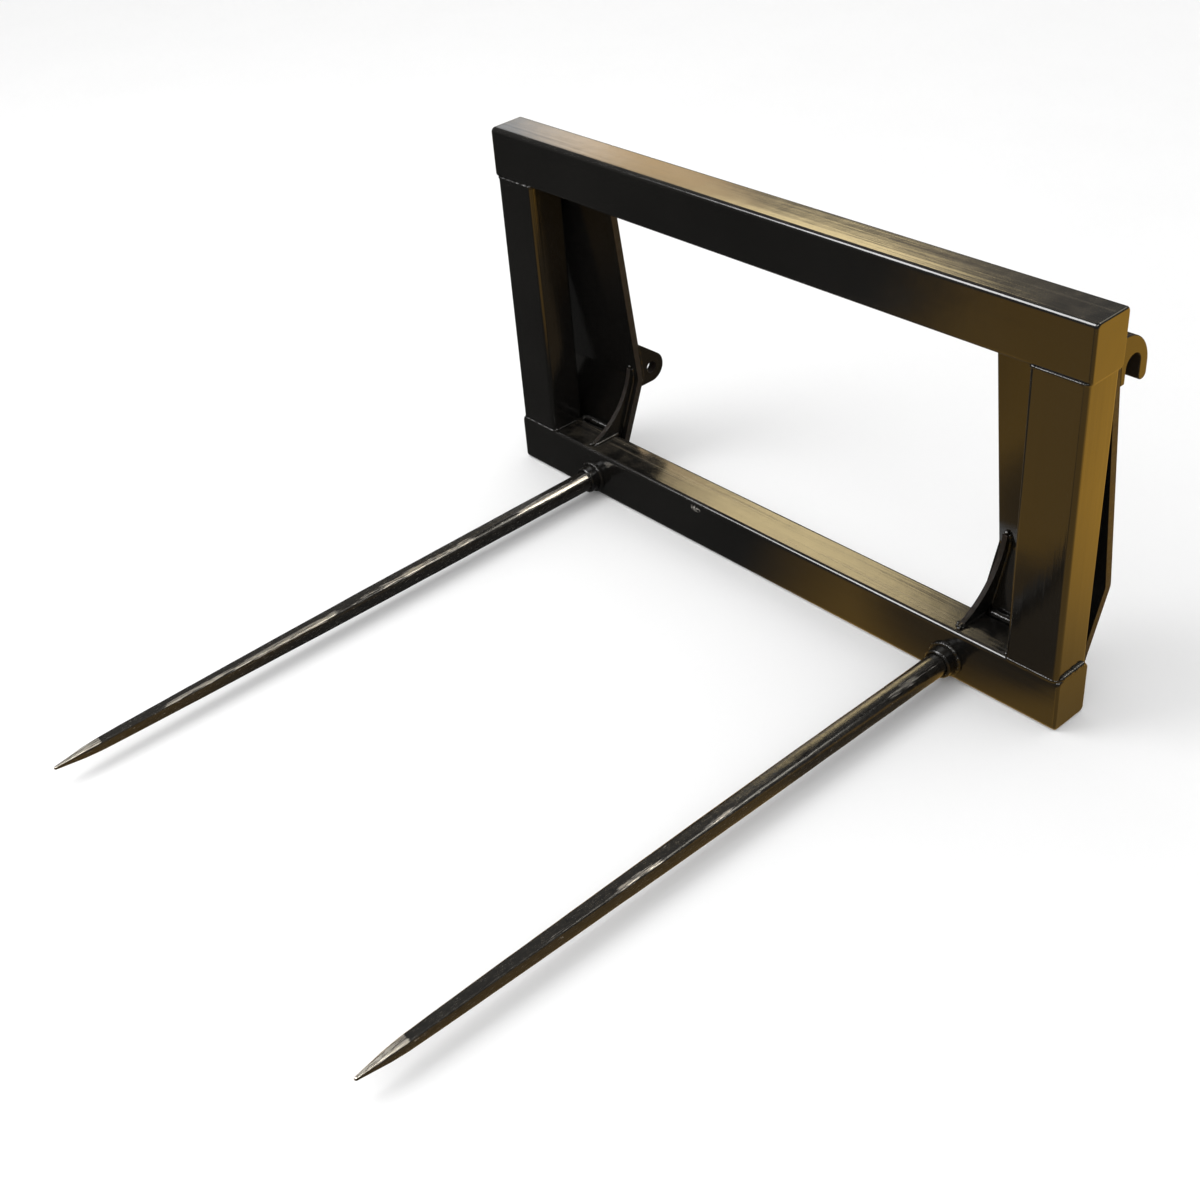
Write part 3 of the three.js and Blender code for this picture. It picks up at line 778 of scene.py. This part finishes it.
def make_beads():
    """Beads at the uprights, gussets, lugs, hooks, hitch plates and sleeves of both sides."""
    for label, side in SIDES:
        low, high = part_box(f"{label}_upright")
        for which, height in (("bottom", low.z - 1.0 * MM), ("top", high.z + 1.0 * MM)):
            loop = loop_round(low, high, height, -1.6 * MM, 9.0 * MM)
            seed = 3.0 + side + (0.5 if which == "top" else 0.0)
            sweep_bead(f"{label}_upright_{which}_weld", [loop], 3.6 * MM, seed, closed=True)
        gusset_low, gusset_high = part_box(f"{label}_gusset")
        beam_low, beam_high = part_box("bottom_beam")
        feet, backs = [], []
        for x in (gusset_low.x, gusset_high.x):
            out = 0.8 * MM if x == gusset_high.x else -0.8 * MM
            feet.append(
                [
                    Vector((x + out, gusset_low.y - 2.0 * MM, beam_high.z + 0.6 * MM)),
                    Vector((x + out, beam_high.y - 3.0 * MM, beam_high.z + 0.6 * MM)),
                ]
            )
            line = []
            for step in range(9):
                z = beam_high.z + 6.0 * MM + (gusset_high.z - beam_high.z - 6.0 * MM) * step / 8
                y = slice_depths(f"{label}_hitch_plate", z)[0]
                line.append(Vector((x + out, y - 0.6 * MM, z)))
            backs.append(line)
        sweep_bead(f"{label}_gusset_foot_weld", feet, 3.4 * MM, 11.0 + side)
        sweep_bead(f"{label}_gusset_back_weld", backs, 3.2 * MM, 13.0 + side)
        plate_low, plate_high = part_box(f"{label}_hitch_plate")
        for part, size, below, above in (("pin_lug", 3.8, 3.0, 3.0), ("hook", 4.2, 12.0, 14.0)):
            part_low, part_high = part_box(f"{label}_{part}")
            roots = []
            for x in (part_low.x, part_high.x):
                out = 0.7 * MM if x == part_high.x else -0.7 * MM
                spot = x + out
                if not plate_low.x + 1.0 * MM < spot < plate_high.x - 1.0 * MM:
                    spot = min(max(spot, plate_low.x + 0.5 * MM), plate_high.x - 0.5 * MM)
                line = []
                span_low = part_low.z + below * MM
                span_high = part_high.z - above * MM
                for step in range(9):
                    z = span_low + (span_high - span_low) * step / 8
                    y = slice_depths(f"{label}_hitch_plate", z)[1]
                    line.append(Vector((spot, y + 0.6 * MM, z)))
                roots.append(line)
            if part == "hook":
                roots = roots[:1] if side > 0 else roots[1:]
            sweep_bead(f"{label}_{part}_weld", roots, size * MM, 17.0 + side + len(part))
        inset = 6.0 * MM
        rows = [
            [
                Vector((plate_low.x + inset, beam_high.y + 0.8 * MM, plate_high.z + 0.4 * MM)),
                Vector((plate_high.x - inset, beam_high.y + 0.8 * MM, plate_high.z + 0.4 * MM)),
            ]
        ]
        outer = plate_high.x - inset if side > 0 else plate_low.x + inset
        inner = (plate_low.x + 52.0 * MM) if side > 0 else (plate_high.x - 52.0 * MM)
        rows.append(
            [
                Vector((inner, beam_high.y + 0.8 * MM, plate_low.z - 0.2 * MM)),
                Vector((outer, beam_high.y + 0.8 * MM, plate_low.z - 0.2 * MM)),
            ]
        )
        sweep_bead(f"{label}_hitch_plate_weld", rows, 4.6 * MM, 23.0 + side)
        make_fat_beads(label, side, low, high, beam_high)
        sleeve_low, sleeve_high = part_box(f"{label}_tine_sleeve")
        centre_x = (sleeve_low.x + sleeve_high.x) / 2
        centre_z = (sleeve_low.z + sleeve_high.z) / 2
        reach = (sleeve_high.x - sleeve_low.x) / 2 + 1.2 * MM
        ring = [
            Vector(
                (
                    centre_x + reach * math.cos(2.0 * math.pi * i / 64),
                    beam_low.y - 1.2 * MM,
                    centre_z + reach * math.sin(2.0 * math.pi * i / 64),
                )
            )
            for i in range(64)
        ]
        sweep_bead(f"{label}_sleeve_weld", [ring], 5.2 * MM, 29.0 + side, closed=True, finish=ENAMEL_SLEEVE)


# ---------------------------------------------------------------- studio
FLOOR_HALF = 40.0
FLOOR_TONES = ((0.876, 0.876, 0.876), (0.884, 0.884, 0.884))
CARD_HALF = 9.0
CARD_HEIGHT = -1.5 * MM
CARD_WARM = (1.00, 0.58, 0.125)
CARD_GOLD = (1.0, 0.50, 0.035)
CARD_DIM = (0.075, 0.075, 0.072)
DOME_RADIUS = 7.0
DOME_CENTRE = (0.0, 0.55, 0.1)
DOME_ROOM = (1.0, 0.97, 0.92)
# Azimuth and elevation seen from the dome's centre, angle where the lamp ends, angle where it
# starts to fade, and colour.
DOME_LAMPS = (
    (-138.3, 36.2, 9.5, 2.5, (6.8, 5.4, 2.8)),
    (-130.5, 25.3, 6.8, 1.5, (2.3, 1.55, 0.75)),
    (-124.5, 22.8, 6.5, 1.0, (1.40, 1.45, 1.50)),
    (-141.0, 27.0, 14.0, 3.0, (0.40, 0.32, 0.20)),
    (-124.0, 8.0, 6.0, 1.0, (1.8, 1.5, 0.9)),
    (-38.0, 46.0, 16.0, 8.0, (17.0, 17.0, 17.0)),
    (42.0, 52.0, 8.0, 3.0, (30.0, 30.0, 29.0)),
    (140.0, 53.0, 11.0, 4.0, (9.0, 8.7, 8.0)),
    (60.0, 62.0, 24.0, 8.0, (2.2, 2.1, 1.9)),
    (150.0, 48.0, 22.0, 8.0, (2.4, 2.2, 1.8)),
)
ROOM_LEVEL = 1.02
KEY_PLACE = (-1.8, -1.6, 3.2)
KEY_AIM = (0.0, 0.3, 0.2)
KEY_SIZE = 2.4
KEY_POWER = 60.0


def level_square(name, half, z):
    """A level square centred on the origin."""
    mesh = bpy.data.meshes.new(name)
    mesh.from_pydata(
        [(-half, -half, z), (half, -half, z), (half, half, z), (-half, half, z)], [], [(0, 1, 2, 3)]
    )
    square = bpy.data.objects.new(name, mesh)
    bpy.context.scene.collection.objects.link(square)
    return square


def make_floor():
    floor = level_square("studio_floor", FLOOR_HALF, 0.0)
    material, tree, shader = new_material("pale_floor")
    tone = tree.noise(object_place(tree), 3.0, 3.0)
    colour = tree.mix(tree.ramp(tone, 0.3, 0.7), *FLOOR_TONES)
    tree.link(colour, shader.inputs["Base Color"])
    shader.inputs["Roughness"].default_value = 0.9
    shader.inputs["Specular IOR Level"].default_value = 0.1
    floor.data.materials.append(material)
    floor.visible_glossy = False


def reflection_only(obj):
    """A reflector card: gloss shows it, the camera and the floor's light don't."""
    obj.visible_camera = False
    obj.visible_diffuse = False
    obj.visible_transmission = False
    obj.visible_volume_scatter = False
    obj.visible_shadow = False
    obj.visible_glossy = True


def glow_material(name):
    material = bpy.data.materials.new(name)
    material.use_nodes = True
    material.node_tree.nodes.clear()
    tree = Tree(material.node_tree)
    output = tree.add("ShaderNodeOutputMaterial")
    emission = tree.add("ShaderNodeEmission")
    tree.link(emission.outputs[0], output.inputs[0])
    if hasattr(material, "cycles"):
        material.cycles.emission_sampling = "NONE"
    return material, tree, emission


def axis_outputs(tree, vector):
    split = tree.add("ShaderNodeSeparateXYZ")
    tree.link(vector, split.inputs[0])
    return split.outputs


def scaled_colour(tree, factor, colour):
    node = tree.add("ShaderNodeVectorMath", operation="SCALE")
    node.inputs[0].default_value = colour
    tree.link(factor, node.inputs["Scale"])
    return node.outputs[0]


def add_colours(tree, first, second):
    node = tree.add("ShaderNodeVectorMath", operation="ADD")
    tree.link(first, node.inputs[0])
    tree.link(second, node.inputs[1])
    return node.outputs[0]


def make_floor_card():
    """Warm light pooled on the floor to the right and behind, dark to the front left."""
    card = level_square("floor_card", CARD_HALF, CARD_HEIGHT)
    material, tree, emission = glow_material("floor_card_glow")
    x, y, _ = axis_outputs(tree, object_place(tree))
    wobble = tree.ramp(tree.noise(object_place(tree), 2.2, 2.0), 0.3, 0.7, -0.05, 0.05, smooth=False)
    lean = tree.math("SUBTRACT", tree.math("ADD", x, 0.12), tree.math("MULTIPLY", y, 0.5))
    lean = tree.math("ADD", lean, wobble)
    front = tree.ramp(lean, -0.22, 0.16)
    rightward = tree.ramp(x, 0.45, 0.90, 0.16, 1.0)
    behind = tree.math("MULTIPLY", tree.ramp(y, 0.66, 0.80), tree.ramp(x, -0.55, -0.30))
    behind = tree.math("MULTIPLY", behind, rightward)
    front = tree.math("MULTIPLY", front, tree.math("MAXIMUM", tree.ramp(y, 0.60, 0.50), rightward))
    warm = tree.math("MAXIMUM", front, behind)
    # Painted shadow: the warm pool is darkened in front of the headstock's base.
    near_x = tree.math("POWER", tree.math("DIVIDE", tree.math("SUBTRACT", x, 0.42), 0.24), 2.0)
    near_y = tree.math("POWER", tree.math("DIVIDE", tree.math("SUBTRACT", y, 0.32), 0.19), 2.0)
    blob = tree.math("ADD", near_x, near_y)
    shade = tree.ramp(blob, 0.45, 1.6, 0.25, 1.0)
    warm = tree.math("MULTIPLY", warm, shade)
    # Painted shadow of the right tine: a dim strip beside it.
    strip = tree.math("MULTIPLY", tree.ramp(x, 0.42, 0.46), tree.ramp(x, 0.62, 0.56))
    strip = tree.math("MULTIPLY", strip, tree.ramp(y, 0.48, 0.42, 0.0, 0.58))
    warm = tree.math("MULTIPLY", warm, tree.math("SUBTRACT", 1.0, strip))
    distance = tree.math("ADD", x, y)
    gold = tree.math("MULTIPLY", tree.ramp(distance, 1.25, 2.3), tree.ramp(y, 0.5, 0.9))
    gold = tree.math("MULTIPLY", gold, tree.ramp(x, 0.35, 0.80))
    total = scaled_colour(tree, warm, CARD_WARM)
    total = add_colours(tree, total, scaled_colour(tree, gold, CARD_GOLD))
    dim = tree.math("SUBTRACT", 1.0, warm)
    total = add_colours(tree, total, scaled_colour(tree, dim, CARD_DIM))
    tree.link(total, emission.inputs[0])
    card.data.materials.append(material)
    reflection_only(card)


def lobe(tree, direction, azimuth, elevation, tight, soft):
    """1 within the soft angle of a direction and 0 past the tight one. Azimuth 0 is -Y and 90 is +X."""
    a, e = math.radians(azimuth), math.radians(elevation)
    aim = (math.sin(a) * math.cos(e), -math.cos(a) * math.cos(e), math.sin(e))
    dot = tree.add("ShaderNodeVectorMath", operation="DOT_PRODUCT")
    tree.link(direction, dot.inputs[0])
    dot.inputs[1].default_value = aim
    outer = math.cos(math.radians(tight))
    inner = math.cos(math.radians(soft))
    return tree.ramp(dot.outputs["Value"], outer, inner)


def make_dome():
    """Big dome that only gloss sees: a dim room with a few soft lamps."""
    rings, segments, radius = 32, 64, DOME_RADIUS
    vertices, faces = [], []
    for i in range(rings + 1):
        elevation = math.radians(-4.0 + 94.0 * i / rings)
        for j in range(segments):
            angle = 2.0 * math.pi * j / segments
            vertices.append(
                (
                    radius * math.cos(elevation) * math.cos(angle),
                    radius * math.cos(elevation) * math.sin(angle),
                    radius * math.sin(elevation),
                )
            )
    for i in range(rings):
        for j in range(segments):
            k = (j + 1) % segments
            faces.append((i * segments + j, (i + 1) * segments + j, (i + 1) * segments + k, i * segments + k))
    mesh = bpy.data.meshes.new("reflection_dome")
    mesh.from_pydata(vertices, [], faces)
    dome = bpy.data.objects.new("reflection_dome", mesh)
    dome.location = DOME_CENTRE
    bpy.context.scene.collection.objects.link(dome)
    material, tree, emission = glow_material("dome_glow")
    place = object_place(tree)
    unit = tree.add("ShaderNodeVectorMath", operation="NORMALIZE")
    tree.link(place, unit.inputs[0])
    direction = unit.outputs[0]
    _, _, height = axis_outputs(tree, direction)
    base = tree.ramp(height, 0.0, 0.9, 0.16, 0.34, smooth=False)
    total = scaled_colour(tree, base, DOME_ROOM)
    for azimuth, elevation, tight, soft, colour in DOME_LAMPS:
        share = lobe(tree, direction, azimuth, elevation, tight, soft)
        total = add_colours(tree, total, scaled_colour(tree, share, colour))
    tree.link(total, emission.inputs[0])
    mesh.materials.append(material)
    reflection_only(dome)


def make_lights():
    scene = bpy.context.scene
    world = bpy.data.worlds.new("pale_room")
    scene.world = world
    world.use_nodes = True
    background = world.node_tree.nodes["Background"]
    background.inputs[0].default_value = (1.0, 1.0, 1.0, 1.0)
    background.inputs[1].default_value = ROOM_LEVEL
    world.cycles_visibility.glossy = False
    lamp = bpy.data.lights.new("soft_key", "AREA")
    lamp.shape = "DISK"
    lamp.size = KEY_SIZE
    lamp.energy = KEY_POWER
    key = bpy.data.objects.new("soft_key", lamp)
    key.location = KEY_PLACE
    key.rotation_mode = "QUATERNION"
    aim = Vector(KEY_AIM) - Vector(key.location)
    key.rotation_quaternion = aim.to_track_quat("-Z", "Y")
    key.visible_glossy = False
    key.visible_camera = False
    scene.collection.objects.link(key)
    scene.view_settings.view_transform = "Standard"


make_camera()
finish_nodes()
for label, side in SIDES:
    make_cap(label, side, "top")
    make_cap(label, side, "bottom")
    make_tine(label, side)
make_beads()
make_floor()
make_floor_card()
make_dome()
make_lights()
